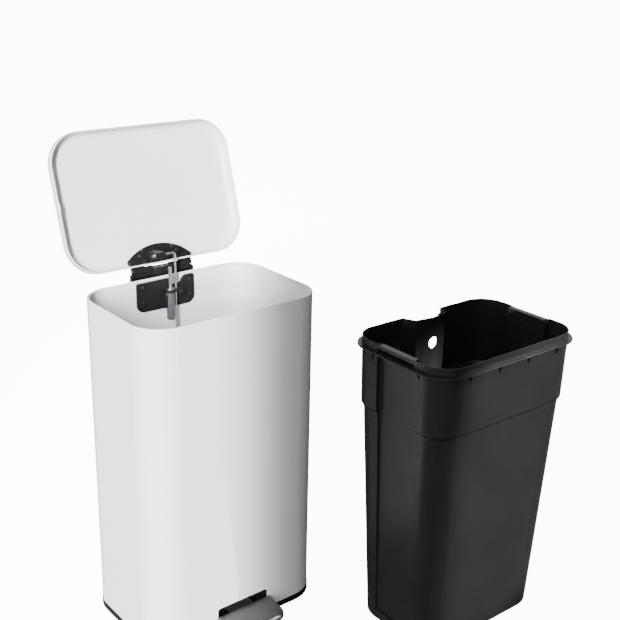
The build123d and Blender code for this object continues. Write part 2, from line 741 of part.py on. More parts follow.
def end_pockets(grow):
    """Finger pockets in both ends, and the shallow channels that run down from them."""
    end = flange_w / 2 - rim_inset
    cuts = []
    for s in (-1, 1):
        x0, x1 = sorted((s * (end - grip_depth - grow), s * (end + 40)))
        top = bucket_top - grip_shelf if grow == 0 else bucket_top + 5
        pocket = block(x0, x1, -grip_half - grow, grip_half + grow, grip_low - grow, top)
        inner = pocket.edges().filter_by(Axis.Z)
        inner = inner.sort_by(Axis.X)[:2] if s > 0 else inner.sort_by(Axis.X)[-2:]
        pocket = fillet(inner, 5 + grow)
        if grow == 0:
            lip0, lip1 = sorted((s * (end - bucket_t), s * (end + 1)))
            pocket -= block(lip0, lip1, -grip_half, grip_half, bucket_top - grip_lip, bucket_top)
        cuts.append(pocket)
        foot_x = bucket_base_w / 2 - 2.5 - grow
        head_x = end - grip_depth - grow
        width = grip_half + grow
        channel = outline([(s * foot_x, 25 - grow), (s * head_x, grip_low), (s * (end + 40), grip_low),
                           (s * (end + 40), 25 - grow)])
        cuts.append(wall_plate(channel, -width, width))
    return cuts


def bucket_flange():
    """Flat flange round the bucket, open over the back recess, with small gussets under it."""
    high = flange_low + flange_t
    ring = slab(flange_w, flange_d, flange_r, flange_low, high)
    ring = fillet(ring.faces().sort_by(Axis.Z)[-1].edges(), 1.0)
    wall_w = flange_w - 2 * rim_inset
    wall_d = flange_d - 2 * rim_inset
    inner = slab(wall_w - 2, wall_d - 2, flange_r - rim_inset - 1, flange_low - 1, high + 1)
    reach = flange_w / 2 - rim_inset
    for s in (-1, 1):
        x0, x1 = sorted((s * (reach - grip_depth - 1), s * reach))
        inner -= block(x0, x1, -grip_half, grip_half, flange_low - 2, high + 2)
    ring -= inner
    ring -= Pos(0, 0, flange_low - 1) * extrude(recess_plan(-1.0, flange_d / 2 - rim_inset, recess_depth), amount=9)
    return ring


def bucket_gussets():
    """Small triangular gussets under the flange."""
    z = flange_low + 0.2
    wall = flange_d / 2 - rim_inset - 2
    ribs = []
    face = outline([(-wall, z), (-wall - gusset_out, z), (-wall, z - gusset_h)])
    for x in (-115.5, -38.5, 38.5, 115.5):
        ribs.append(side_plate(face, x - gusset_t / 2, x + gusset_t / 2))
    end = flange_w / 2 - rim_inset - 2
    for s in (-1, 1):
        side = outline([(s * end, z), (s * (end + gusset_out), z), (s * end, z - gusset_h)])
        for y in (-60, 60):
            ribs.append(wall_plate(side, y - gusset_t / 2, y + gusset_t / 2))
    return ribs


def bucket():
    """Moulded bucket: tapered walls, stepped band, flange, grips, back recess and vent hole."""
    outside = bucket_body(0, 0, bucket_top) - bucket_recess(0)
    inside = bucket_body(bucket_t, bucket_t, bucket_top + 0.01) - bucket_recess(bucket_t)
    for cut in end_pockets(0):
        outside -= cut
    for cut in end_pockets(bucket_t):
        inside -= cut
    shell = outside + bucket_flange()
    for rib in bucket_gussets():
        shell += rib
    shell -= inside
    shell -= along_y(vent_r, 60, 120, vent_x, vent_z)
    return Pos(bucket_x, bucket_y, 0) * shell


def write(name, pieces):
    """Write one sub-part, whose separate solids share a node."""
    if isinstance(pieces, list):
        solids = [s for piece in pieces for s in piece.solids()]
        pieces = Compound(children=solids)
    export_step(pieces, f"parts/{name}.step")


def lever_with_holes():
    """Lever with its two screw holes."""
    lever = pedal_lever()
    for hole in neck_holes():
        lever -= hole
    return lever


os.makedirs("parts", exist_ok=True)
for name, make in {
    "body_shell": body_shell, "base_tray": base_tray, "base_feet": base_feet, "base_screws": base_screws,
    "slot_frame": slot_frame, "hinge_plate": hinge_plate, "hinge_housing": hinge_housing,
    "hinge_rivets": hinge_rivets, "hinge_pin": hinge_pin, "rod_guide": rod_guide,
    "damper_holder": damper_holder, "damper_cylinder": damper_cylinder, "damper_cap": damper_cap,
    "damper_gland": damper_gland, "damper_ring": damper_ring, "damper_rod": damper_rod,
    "lid_pan": lid_pan, "lid_doubler": lid_doubler, "lid_bracket": lid_bracket,
    "bracket_screws": bracket_screws, "lid_bumpers": lid_bumpers, "lift_rod": lift_rod,
    "rod_clips": rod_clips, "pedal_lever": lever_with_holes, "pedal_cap": pedal_cap,
    "pedal_pad": pedal_pad, "pedal_screws": pedal_screws, "bearing_blocks": bearing_blocks,
    "block_screws": block_screws, "lever_axle": lever_axle, "axle_clips": axle_clips,
    "lever_bumper": lever_bumper, "bucket": bucket,
}.items():
    write(name, make())
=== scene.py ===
from math import cos, pi, radians, sin

import bmesh
import bpy
from mathutils import Matrix, Vector


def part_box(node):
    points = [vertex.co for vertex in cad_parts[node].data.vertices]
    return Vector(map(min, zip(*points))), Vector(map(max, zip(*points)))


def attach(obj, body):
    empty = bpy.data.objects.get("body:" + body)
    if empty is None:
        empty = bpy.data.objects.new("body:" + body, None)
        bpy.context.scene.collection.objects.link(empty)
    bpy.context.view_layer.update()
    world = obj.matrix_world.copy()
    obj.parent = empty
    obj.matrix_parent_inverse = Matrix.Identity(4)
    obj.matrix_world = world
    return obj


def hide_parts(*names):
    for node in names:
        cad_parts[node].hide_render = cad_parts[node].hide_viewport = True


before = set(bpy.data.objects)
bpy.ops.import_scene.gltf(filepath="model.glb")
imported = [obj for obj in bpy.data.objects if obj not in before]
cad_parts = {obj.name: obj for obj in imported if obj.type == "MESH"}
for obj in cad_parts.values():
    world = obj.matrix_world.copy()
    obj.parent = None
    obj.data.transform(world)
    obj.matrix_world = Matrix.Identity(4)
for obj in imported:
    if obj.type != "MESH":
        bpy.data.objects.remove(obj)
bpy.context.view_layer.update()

# Pedal trash can with its bucket beside it. Sizes in this file are millimetres, turned to metres by MM
# where a mesh is made, in the frame of the CAD: +Z up, front at -Y, origin under the middle of the can.
MM = 0.001
MERGE = 0.002             # points closer than this are made one

# --- can and lid, as in the CAD
SHELL_T = 0.9
CAN_R = 62.0
BEAD_H = 5.0
BEAD_W = 5.0
BEAD_R = 2.4
SLOT_HALF = 58.5
SLOT_TOP = 56.0
SLOT_R = 6.0
SLOT_DROP = 60.0          # half height of the slot's cutter, which passes the shell's foot
SLOT_CUT_BEFORE = 5.0     # start of that cutter before the shell's front
SLOT_CUT = 12.0           # its length
SEAM_LEFT = -116.5
SEAM_RIGHT = -107.5
SEAM_LOW = 30.0
SEAM_GAP = 2.0            # below the rolled rim
SEAM_PROUD = 0.9
SEAM_FLANK = 0.3
SEAM_ROOT = 0.1           # how deep the seam's strip sits in the wall
HINGE_Y = 142.4
HINGE_Z = 672.0
LID_OPEN = 107.3
LID_W = 389.0
LID_D = 269.0
LID_R = 64.0
LID_LOW = 660.0
LID_TOP = 681.5
LID_T = 1.0
LID_EDGE = 9.0
LIP_H = 3.2
LIP_W = 3.0
LIP_R = 1.3
LIP_EDGE = 0.8            # rounding of the lip's outer edge
LID_INNER = 14.0          # soft corner between the pan's skirt and its inside
FACE_EDGE = 0.5           # flat strip between a rounding and the face that it ends in
LEAF_HALF = 68.6
LEAF_LOW = 665.0
LEAF_HIGH = 677.2
LEAF_CUT = 6.0            # length of the cutter of the leaf's slot

# --- bucket, as in the CAD, in its own frame with its base at z = 0
BUCKET_AT = Vector((372.0, -330.0, 0.0))
BUCKET_T = 2.2
BUCKET_TOP = 600.5
WALL_A = 181.5            # half width of the wall at the top
WALL_B = 121.5            # half depth of the wall at the top
WALL_R = 52.0
RIM_OUT = 9.0             # flange beyond the wall
RIM_EDGE = 0.9            # rounding of the rim
RIM_EDGE_MID = 0.3        # place of the middle ring of that rounding
FLANGE_LOW = 582.5
FLANGE_T = 2.5
BAND_LOW = 467.0
BAND_IN = 3.0             # taper of the band
STEP_H = 6.0
STEP_POINTS = 6
STEP_IN = 5.0
STEP_SUPPORT = 4.0        # rings this far below and above the step
LOW_RINGS = (130, 240, 350)
FRONT_SHARES = (-0.6, 0.0, 0.6)               # places of the points along the front
BASE_A = 154.0
BASE_B = 99.0
BASE_R = 45.0
BASE_FILLET = 9.0
BASE_STEPS = 6
RECESS_TOP_Y = 90.5       # floor of the back recess at the top ...
RECESS_LOW_Y = 76.0       # ... and at the bottom
RECESS_PAST = 5           # the floor's slope runs this far past the base and the rim
RECESS_HALF = 50.0
RECESS_FLOOR = 37.0
RECESS_MOUTH = 3          # flare of the mouth
RECESS_FOOT = 1           # narrowing of the floor
RECESS_LAND = 8           # flat strip of the back beside the mouth
FLANGE_STOP = 1           # end of the flange beside the mouth ...
FLANGE_FLANK = 0.9        # ... and the foot of its end face
RECESS_BOW = 5.0          # the recess's floor is bowed in the middle
RECESS_STEPS = 10
GRIP_HALF = 47.0
GRIP_X = 169.5            # back of the finger pockets
GRIP_LOW = 540.0
GRIP_LIP = 8.0
GRIP_DIP = 1.6            # top of the grips below the rim
GRIP_MID = 20.0           # inner point of the pocket's floor
GRIP_SIDE = [             # (distance in from the pocket's end, share of the pocket's depth)
    (0.0, 0.0), (0.2, 0.5), (0.8, 0.73), (2.2, 0.91), (4.6, 1.0),
]
GRIP_PAST_X = 5           # the grip's dip reaches in this far from the pocket's back ...
GRIP_PAST_Y = 0.5         # ... and stops this far from the pocket's ends
POCKET_RINGS = (500, GRIP_LOW, 561)
CHANNEL_LOW = 25.0
CHANNEL_FOOT = 151.5
VENT_R = 12.0
VENT_X = 4.0
VENT_Z = 548.0
VENT_STEPS = 40
VENT_FROM = 60.0
VENT_CUT = 50.0
GUSSET_H = 18.0
GUSSET_OUT = 5.5
GUSSET_T = 2.4
GUSSET_ROOT = 2.0         # how deep a gusset sits in the wall ...
GUSSET_LAP = 0.3          # ... and in the flange
GUSSET_FRONT_X = (-115.5, -38.5, 38.5, 115.5)
GUSSET_END_Y = (-60, 60)


# ------------------------------------------------------------------ materials

NOISE_RANGE = (0.3, 0.7)  # the part of the noise's range that its values fall in
BROAD = 9.0               # features per metre of the broad change of colour
BUMP_STRENGTH = 0.6
COAT_ROUGH = 0.25


def new_material(name):
    """Material with an empty Principled shader; returns (material, nodes, links, shader)."""
    mat = bpy.data.materials.new(name)
    mat.use_nodes = True
    nodes = mat.node_tree.nodes
    return mat, nodes, mat.node_tree.links, nodes["Principled BSDF"]


def noise(nodes, links, scale, detail=3.0, stretch=(1, 1, 1)):
    """Noise in object space; scale is features per metre, stretch slows it along an axis."""
    coords = nodes.new("ShaderNodeTexCoord")
    mapping = nodes.new("ShaderNodeMapping")
    mapping.inputs["Scale"].default_value = [scale * s for s in stretch]
    texture = nodes.new("ShaderNodeTexNoise")
    texture.inputs["Scale"].default_value = 1.0
    texture.inputs["Detail"].default_value = detail
    links.new(coords.outputs["Object"], mapping.inputs["Vector"])
    links.new(mapping.outputs["Vector"], texture.inputs["Vector"])
    return texture.outputs["Fac"]


def remap(nodes, links, value, source, target, kind="LINEAR"):
    """Value turned from the range source to the range target and held at its ends."""
    span = nodes.new("ShaderNodeMapRange")
    span.interpolation_type = kind
    span.inputs["From Min"].default_value = source[0]
    span.inputs["From Max"].default_value = source[1]
    span.inputs["To Min"].default_value = target[0]
    span.inputs["To Max"].default_value = target[1]
    links.new(value, span.inputs["Value"])
    return span.outputs["Result"]


def tint(nodes, links, value, dark, light):
    """Noise value turned to a colour between dark and light."""
    ramp = nodes.new("ShaderNodeValToRGB")
    ramp.color_ramp.elements[0].position = NOISE_RANGE[0]
    ramp.color_ramp.elements[1].position = NOISE_RANGE[1]
    ramp.color_ramp.elements[0].color = (*dark, 1)
    ramp.color_ramp.elements[1].color = (*light, 1)
    links.new(value, ramp.inputs["Fac"])
    return ramp.outputs["Color"]


def bump(nodes, links, shader, value, depth):
    """Bump from a noise value; depth is its real depth in millimetres."""
    node = nodes.new("ShaderNodeBump")
    node.inputs["Strength"].default_value = BUMP_STRENGTH
    node.inputs["Distance"].default_value = depth * MM
    links.new(value, node.inputs["Height"])
    links.new(node.outputs["Normal"], shader.inputs["Normal"])


def surface(name, dark, light, rough, grain, depth,
            metal=0.0, coat=0.0, stretch=(1, 1, 1), specular=0.5):
    """Surface that changes broadly between two colours, with a fine grain in its roughness and height."""
    mat, nodes, links, shader = new_material(name)
    broad = noise(nodes, links, BROAD, 4.0)
    fine = noise(nodes, links, grain, 2.0, stretch)
    links.new(tint(nodes, links, broad, dark, light), shader.inputs["Base Color"])
    links.new(remap(nodes, links, fine, NOISE_RANGE, rough), shader.inputs["Roughness"])
    bump(nodes, links, shader, fine, depth)
    shader.inputs["Metallic"].default_value = metal
    shader.inputs["Specular IOR Level"].default_value = specular
    shader.inputs["Coat Weight"].default_value = coat
    shader.inputs["Coat Roughness"].default_value = COAT_ROUGH
    return mat


SURFACES = {   # per slot: the two colours, the range of roughness, the grain per metre and its depth
    "white_paint": dict(
        dark=(0.80, 0.80, 0.795), light=(0.83, 0.83, 0.825), rough=(0.34, 0.42),
        grain=900, depth=0.012, coat=0.15),
    "black_plastic": dict(
        dark=(0.006, 0.006, 0.0065), light=(0.010, 0.010, 0.011), rough=(0.42, 0.56),
        grain=1600, depth=0.03, specular=0.2),
    "bucket_plastic": dict(
        dark=(0.010, 0.0105, 0.0112), light=(0.013, 0.0137, 0.0147), rough=(0.34, 0.42),
        grain=1400, depth=0.02, stretch=(1, 1, 0.35), specular=0.22),
    "satin_steel": dict(
        dark=(0.10, 0.104, 0.108), light=(0.13, 0.134, 0.138), rough=(0.30, 0.40),
        grain=1500, depth=0.01, metal=0.75, stretch=(0.03, 1, 1)),
    "bright_steel": dict(
        dark=(0.78, 0.79, 0.80), light=(0.86, 0.87, 0.88), rough=(0.12, 0.22),
        grain=1300, depth=0.006, metal=1.0, stretch=(1, 1, 0.1)),
    "zinc_steel": dict(
        dark=(0.46, 0.47, 0.48), light=(0.58, 0.59, 0.60), rough=(0.28, 0.42),
        grain=700, depth=0.01, metal=1.0),
    "grey_plastic": dict(
        dark=(0.05, 0.053, 0.058), light=(0.065, 0.068, 0.074), rough=(0.35, 0.48),
        grain=1500, depth=0.02),
    "rubber": dict(
        dark=(0.018, 0.018, 0.018), light=(0.028, 0.028, 0.028), rough=(0.70, 0.85),
        grain=1200, depth=0.04),
    "soft_white": dict(
        dark=(0.76, 0.76, 0.75), light=(0.80, 0.80, 0.79), rough=(0.55, 0.7),
        grain=1200, depth=0.02),
    "black_steel": dict(
        dark=(0.009, 0.009, 0.0095), light=(0.014, 0.014, 0.015), rough=(0.26, 0.36),
        grain=1500, depth=0.01),
}
MATERIALS = {slot: surface(slot, **look) for slot, look in SURFACES.items()}


# ------------------------------------------------------------------ mesh helpers

def rounded_rect(half_x, half_y, radius, corner_steps=14):
    """Points round a rounded rectangle, anticlockwise from the front left end of the front side."""
    points = []
    for quarter, (sx, sy) in enumerate([(1, -1), (1, 1), (-1, 1), (-1, -1)]):
        centre = Vector((sx * (half_x - radius), sy * (half_y - radius)))
        start = -pi / 2 + quarter * pi / 2
        for i in range(corner_steps + 1):
            turn = start + pi / 2 * i / corner_steps
            points.append(centre + radius * Vector((cos(turn), sin(turn))))
    return points


def add_rings(bm, rings, closed=False, cap_first=False, cap_last=False):
    """Skin rings of points that have the same count; closed joins the last ring to the first."""
    loops = [[bm.verts.new(p) for p in ring] for ring in rings]
    count = len(loops[0])
    pairs = list(zip(loops, loops[1:]))
    if closed:
        pairs.append((loops[-1], loops[0]))
    for low, high in pairs:
        for i in range(count):
            j = (i + 1) % count
            bm.faces.new((low[i], low[j], high[j], high[i]))
    if cap_first:
        bm.faces.new(list(reversed(loops[0])))
    if cap_last:
        bm.faces.new(loops[-1])


def add_prism(bm, outline_points, shift):
    """Straight prism between an outline of points and the same outline moved by shift."""
    add_rings(bm, [outline_points, [p + shift for p in outline_points]], cap_first=True, cap_last=True)


def clean(bm):
    """Merge points that coincide and make the normals face out."""
    bmesh.ops.remove_doubles(bm, verts=bm.verts, dist=MERGE)
    bmesh.ops.dissolve_degenerate(bm, edges=bm.edges, dist=MERGE / 2)
    bmesh.ops.recalc_face_normals(bm, faces=bm.faces)


def to_object(bm, name, place=Matrix.Identity(4)):
    """Mesh object from a bmesh in millimetres, put in place and scaled to metres."""
    bmesh.ops.transform(bm, matrix=Matrix.Scale(MM, 4) @ place, verts=bm.verts)
    mesh = bpy.data.meshes.new(name)
    bm.to_mesh(mesh)
    bm.free()
    obj = bpy.data.objects.new(name, mesh)
    bpy.context.scene.collection.objects.link(obj)
    return obj


def prism_object(name, outline_points, shift, place=Matrix.Identity(4)):
    """Object with the shape of a straight prism, put in place."""
    bm = bmesh.new()
    add_prism(bm, outline_points, shift)
    bmesh.ops.recalc_face_normals(bm, faces=bm.faces)
    return to_object(bm, name, place)


def smooth(obj, edge=0.0, angle=32.0):
    """Round the edges sharper than angle by edge millimetres and shade the rest smooth."""
    for polygon in obj.data.polygons:
        polygon.use_smooth = True
    obj.data.set_sharp_from_angle(angle=radians(angle))
    if edge > 0:
        bevel = obj.modifiers.new("edges", "BEVEL")
        bevel.width = edge * MM
        bevel.segments = 2
        bevel.limit_method = "ANGLE"
        bevel.angle_limit = radians(angle)
        bevel.harden_normals = False
        bevel.use_clamp_overlap = True
    weighted = obj.modifiers.new("normals", "WEIGHTED_NORMAL")
    weighted.keep_sharp = edge == 0
    weighted.weight = 80
    return obj


def apply_modifiers(obj):
    """Make the result of the modifiers the object's own mesh."""
    graph = bpy.context.evaluated_depsgraph_get()
    mesh = bpy.data.meshes.new_from_object(obj.evaluated_get(graph))
    obj.modifiers.clear()
    obj.data = mesh


def cut(obj, cutter):
    """Take the cutter's solid out of obj."""
    boolean = obj.modifiers.new("cut", "BOOLEAN")
    boolean.operation = "DIFFERENCE"
    boolean.solver = "EXACT"
    boolean.object = cutter
    bpy.context.view_layer.update()
    apply_modifiers(obj)
    bpy.data.objects.remove(cutter)


def place_piece(obj, body, slot, *nodes):
    """Give a piece the material of its slot, hang it under its body's empty and hide the CAD nodes that
    it stands for.
    """
    obj.data.materials.clear()
    obj.data.materials.append(MATERIALS[slot])
    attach(obj, body)
    if nodes:
        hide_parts(*nodes)
    return obj


# ------------------------------------------------------------------ can body

def fillet_run(inset, z, radius, start, end, steps=5):
    """Section points (inset, z) along an arc, by its centre and its start and end angles in degrees."""
    turns = [radians(start + (end - start) * i / steps) for i in range(steps + 1)]
    return [(inset + radius * cos(t), z + radius * sin(t)) for t in turns]


def section_rings(half_x, half_y, radius, section):
    """Rings of a rounded-rectangle wall from its section points (inset, z)."""
    rings = []
    for inset, z in section:
        outline = rounded_rect(half_x - inset, half_y - inset, radius - inset)
        rings.append([Vector((p.x, p.y, z)) for p in outline])
    return rings


def make_shell():
    """Sheet-steel shell with its rolled rim and the rounded pedal opening."""
    low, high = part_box("body_shell")
    half_x = high.x / MM
    half_y = high.y / MM
    rim = high.z / MM
    bead_low = rim - BEAD_H
    section = [(0, low.z / MM), (0, rim - BEAD_R)]
    section += fillet_run(BEAD_R, rim - BEAD_R, BEAD_R, 180, 90)
    section += fillet_run(BEAD_W - BEAD_R, rim - BEAD_R, BEAD_R, 90, 0)
    section += fillet_run(BEAD_W - BEAD_R, bead_low + BEAD_R, BEAD_R, 0, -90)
    section += [(SHELL_T, bead_low), (SHELL_T, low.z / MM)]
    bm = bmesh.new()
    add_rings(bm, section_rings(half_x, half_y, CAN_R, section), closed=True)
    clean(bm)
    shell = to_object(bm, "can_shell")
    outline = [Vector((p.x, -half_y - SLOT_CUT_BEFORE, p.y + SLOT_TOP - SLOT_DROP))
               for p in rounded_rect(SLOT_HALF, SLOT_DROP, SLOT_R, 6)]
    cut(shell, prism_object("opening", outline, Vector((0, SLOT_CUT, 0))))
    smooth(shell, 0.25)
    return place_piece(shell, "can", "white_paint", "body_shell")


def make_seam():
    """Lap seam down the inside of the back wall."""
    low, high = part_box("body_shell")
    inner_y = high.y / MM - SHELL_T
    root_y = inner_y + SEAM_ROOT
    proud_y = inner_y - SEAM_PROUD
    section = [(SEAM_LEFT, root_y), (SEAM_LEFT + SEAM_FLANK, proud_y),
               (SEAM_RIGHT - SEAM_FLANK, proud_y), (SEAM_RIGHT, root_y)]
    outline = [Vector((x, y, SEAM_LOW)) for x, y in section]
    rise = high.z / MM - BEAD_H - SEAM_GAP - SEAM_LOW
    seam = prism_object("can_seam", outline, Vector((0, 0, rise)))
    return place_piece(smooth(seam), "can", "white_paint")


# ------------------------------------------------------------------ lid

def lid_place():
    """Matrix from the closed lid's place to the open one."""
    axis = Vector((0, HINGE_Y, HINGE_Z))
    turn = Matrix.Rotation(-radians(LID_OPEN), 4, "X")
    return Matrix.Translation(axis) @ turn @ Matrix.Translation(-axis)


def make_lid():
    """Drawn pan of the lid: rounded edge, straight skirt, rolled lip, and the slot for the hinge leaf."""
    soft = LID_T + LID_INNER
    section = [(soft + FACE_EDGE, LID_TOP - LID_T)]
    section += fillet_run(soft, LID_TOP - soft, LID_INNER, 90, 180, 10)
    section += [(LID_T, LID_LOW + LIP_H)]
    section += fillet_run(LIP_W - LIP_R, LID_LOW + LIP_H - LIP_R, LIP_R, 90, 0, 4)
    section += fillet_run(LIP_W - LIP_R, LID_LOW + LIP_R, LIP_R, 0, -90, 4)
    section += fillet_run(LIP_EDGE, LID_LOW + LIP_EDGE, LIP_EDGE, 270, 180, 4)
    section += fillet_run(LID_EDGE, LID_TOP - LID_EDGE, LID_EDGE, 180, 90, 8)
    section += [(LID_EDGE + FACE_EDGE, LID_TOP)]
    bm = bmesh.new()
    add_rings(bm, section_rings(LID_W / 2, LID_D / 2, LID_R, section), cap_first=True, cap_last=True)
    clean(bm)
    pan = to_object(bm, "lid_pan_shell", lid_place())
    corners = [(-LEAF_HALF, LEAF_LOW), (LEAF_HALF, LEAF_LOW),
               (LEAF_HALF, LEAF_HIGH), (-LEAF_HALF, LEAF_HIGH)]
    outline = [Vector((x, (LID_D - LEAF_CUT) / 2, z)) for x, z in corners]
    cut(pan, prism_object("leaf_slot", outline, Vector((0, LEAF_CUT, 0)), lid_place()))
    smooth(pan)
    return place_piece(pan, "lid", "white_paint", "lid_pan")


# ------------------------------------------------------------------ bucket

def mix(a, b, t):
    """Number at share t of the way from a to b."""
    return a + (b - a) * t


def ease(t):
    """Share t of a soft step that starts and ends level."""
    return 0.5 - 0.5 * cos(pi * t)


def wall_at(z):
    """Half width, half depth and corner radius of the bucket's outer wall at a height."""
    top = (WALL_A, WALL_B, WALL_R)
    neck = [size - BAND_IN for size in top]
    waist = [size - STEP_IN for size in neck]
    base = (BASE_A, BASE_B, BASE_R)
    step_z = BAND_LOW - STEP_H
    if z >= BAND_LOW:
        low, high, t = neck, top, (z - BAND_LOW) / (BUCKET_TOP - BAND_LOW)
    elif z >= step_z:
        low, high, t = waist, neck, ease((z - step_z) / STEP_H)
    else:
        low, high, t = base, waist, z / step_z
    return [mix(a, b, t) for a, b in zip(low, high)]


def end_points(half_x, half_y, corner_r, z, inset, end_mode, out):
    """Points up the +X end, from its front to its back, with the grip and its channel pressed in."""
    offset = half_x - out
    height = min(1.0, (z - CHANNEL_LOW) / (GRIP_LOW - CHANNEL_LOW))
    pressed = offset - (mix(CHANNEL_FOOT, GRIP_X, height) - inset)
    deep = pressed if end_mode == "pressed" and out == 0 else 0.0
    half = [(half_y - corner_r, 0.0)]
    half += [(GRIP_HALF - back + inset, share * deep) for back, share in GRIP_SIDE]
    half.append((GRIP_MID, deep))
    front = [Vector((half_x - d, -y)) for y, d in half]
    return front + [Vector((half_x - deep, 0.0))] + [Vector((half_x - d, y)) for y, d in reversed(half)]


def back_points(half_x, half_y, corner_r, z, inset, out):
    """Points along the back from +X to -X, round the recess; the flange stops at the recess."""
    slope = (z + RECESS_PAST) / (BUCKET_TOP + 2 * RECESS_PAST)
    floor_y = mix(RECESS_LOW_Y, RECESS_TOP_Y, slope) - inset
    wall_y = half_y - out
    depth = wall_y - floor_y
    mouth = RECESS_HALF + inset + RECESS_MOUTH
    foot = RECESS_FLOOR - RECESS_FOOT
    half = [(mix(half_x - corner_r, mouth + RECESS_LAND, 0.5), half_y),
            (mouth + FLANGE_STOP, half_y), (mouth + FLANGE_FLANK, wall_y)]
    for i in range(RECESS_STEPS + 1):
        t = i / RECESS_STEPS
        half.append((mix(mouth, foot, t), wall_y - (depth - RECESS_BOW) * ease(t)))
    for i in range(1, RECESS_STEPS):
        t = i / RECESS_STEPS
        half.append((foot * (1 - t), floor_y + RECESS_BOW * (1 - ease(t))))
    right = [Vector((x, y)) for x, y in half]
    return right + [Vector((0.0, floor_y))] + [Vector((-x, y)) for x, y in reversed(half)]


def bucket_ring(z, inset=0.0, out=0.0, end_mode="plain", dip=0.0, corner_steps=12):
    """Ring of the bucket at a height; inset moves it in by the wall, out moves it out to the flange. In
    the end mode "pressed" the finger pockets are pressed in, and dip lowers the ring over them."""
    a, b, r = [size + out - inset for size in wall_at(z)]
    points = []
    ends = end_points(a, b, r, z, inset, end_mode, out)
    back = back_points(a, b, r, z, inset, out)

    def corner(sx, sy, start):
        centre = Vector((sx * (a - r), sy * (b - r)))
        for i in range(corner_steps + 1):
            turn = radians(start + 90 * i / corner_steps)
            points.append(centre + r * Vector((cos(turn), sin(turn))))

    for share in FRONT_SHARES:
        points.append(Vector((share * (a - r), -b)))
    corner(1, -1, -90)
    points += ends[1:-1]
    corner(1, 1, 0)
    points += back
    corner(-1, 1, 90)
    points += [Vector((-p.x, p.y)) for p in reversed(ends[1:-1])]
    corner(-1, -1, 180)
    ring = []
    for p in points:
        over_grip = abs(p.x) > GRIP_X - GRIP_PAST_X and abs(p.y) < GRIP_HALF - GRIP_PAST_Y
        ring.append(Vector((p.x, p.y, z - (dip if over_grip else 0.0))))
    return ring


def bottom_rings(z0, inset):
    """Rings of the rounded bottom edge, from the flat base outwards."""
    rings = []
    for i in range(BASE_STEPS + 1):
        turn = pi / 2 * i / BASE_STEPS
        shrink = BASE_FILLET * (1 - sin(turn))
        rings.append(bucket_ring(z0 + BASE_FILLET * (1 - cos(turn)), inset + shrink))
    return rings


def bucket_rings():
    """All rings of the bucket, up the outside from its base, over the rim and down the inside."""
    step_z = BAND_LOW - STEP_H
    lip_z = BUCKET_TOP - GRIP_LIP
    flange_top = FLANGE_LOW + FLANGE_T
    edge = RIM_EDGE
    mid = RIM_EDGE_MID
    t = BUCKET_T
    sides = LOW_RINGS + (step_z - STEP_SUPPORT,)
    sides += tuple(step_z + STEP_H * i / STEP_POINTS for i in range(STEP_POINTS + 1))
    sides += (BAND_LOW + STEP_SUPPORT,) + POCKET_RINGS

    def pressed(z, **how):
        return bucket_ring(z, end_mode="pressed", **how)

    rings = bottom_rings(0.0, 0.0)
    rings += [bucket_ring(CHANNEL_LOW), pressed(CHANNEL_LOW)]
    rings += [pressed(z) for z in sides + (FLANGE_LOW,)]
    rings += [bucket_ring(FLANGE_LOW, out=RIM_OUT), bucket_ring(flange_top - edge, out=RIM_OUT)]
    rings += [bucket_ring(flange_top, out=RIM_OUT - edge), pressed(flange_top)]
    rings += [pressed(lip_z), bucket_ring(lip_z)]
    for down, inset in ((edge, 0.0), (mid, mid), (0.0, edge)):
        rings.append(bucket_ring(BUCKET_TOP - down, inset=inset, dip=GRIP_DIP))
    for down, inset in ((0.0, t - edge), (mid, t - mid), (edge, t)):
        rings.append(pressed(BUCKET_TOP - down, inset=inset, dip=GRIP_DIP))
    rings += [pressed(z, inset=t) for z in (FLANGE_LOW,) + tuple(reversed(sides))]
    rings += [pressed(CHANNEL_LOW + t, inset=t), bucket_ring(CHANNEL_LOW + t, inset=t)]
    return rings + list(reversed(bottom_rings(t, t)))


def add_gussets(bm):
    """Triangular ribs under the flange: four at the front, two at each end."""
    foot = FLANGE_LOW - GUSSET_H

    def rib(base, outward, side):
        top = base + Vector((0, 0, GUSSET_H + GUSSET_LAP))
        root = outward * GUSSET_ROOT
        outline = [base - root, base, top + outward * GUSSET_OUT, top - root]
        add_prism(bm, [p - side * (GUSSET_T / 2) for p in outline], side * GUSSET_T)

    wall_a, wall_b, _ = wall_at(foot)
    for x in GUSSET_FRONT_X:
        rib(Vector((x, -wall_b, foot)), Vector((0, -1, 0)), Vector((1, 0, 0)))
    for s in (-1, 1):
        for y in GUSSET_END_Y:
            rib(Vector((s * wall_a, y, foot)), Vector((s, 0, 0)), Vector((0, 1, 0)))


def make_bucket():
    """Moulded bucket in one thin wall, with its vent hole and its gussets."""
    bm = bmesh.new()
    add_rings(bm, bucket_rings(), cap_first=True, cap_last=True)
    clean(bm)
    place = Matrix.Translation(BUCKET_AT)
    bucket = to_object(bm, "bucket_shell", place)
    turns = [2 * pi * i / VENT_STEPS for i in range(VENT_STEPS)]
    circle = [Vector((VENT_X + VENT_R * cos(t), VENT_FROM, VENT_Z + VENT_R * sin(t))) for t in turns]
    cut(bucket, prism_object("vent", circle, Vector((0, VENT_CUT, 0)), place))
    to_world = Matrix.Scale(MM, 4) @ place
    bm = bmesh.new()
    bm.from_mesh(bucket.data)
    bmesh.ops.transform(bm, matrix=to_world.inverted(), verts=bm.verts)
    add_gussets(bm)
    bmesh.ops.recalc_face_normals(bm, faces=bm.faces)
    bmesh.ops.transform(bm, matrix=to_world, verts=bm.verts)
    bm.to_mesh(bucket.data)
    bm.free()
    smooth(bucket, 0.5, angle=28.0)
    return place_piece(bucket, "bucket", "bucket_plastic", "bucket")


# ------------------------------------------------------------------ pieces finished from the frame

FLAT_ANGLE = 0.4          # faces that meet at less than this are one flat face


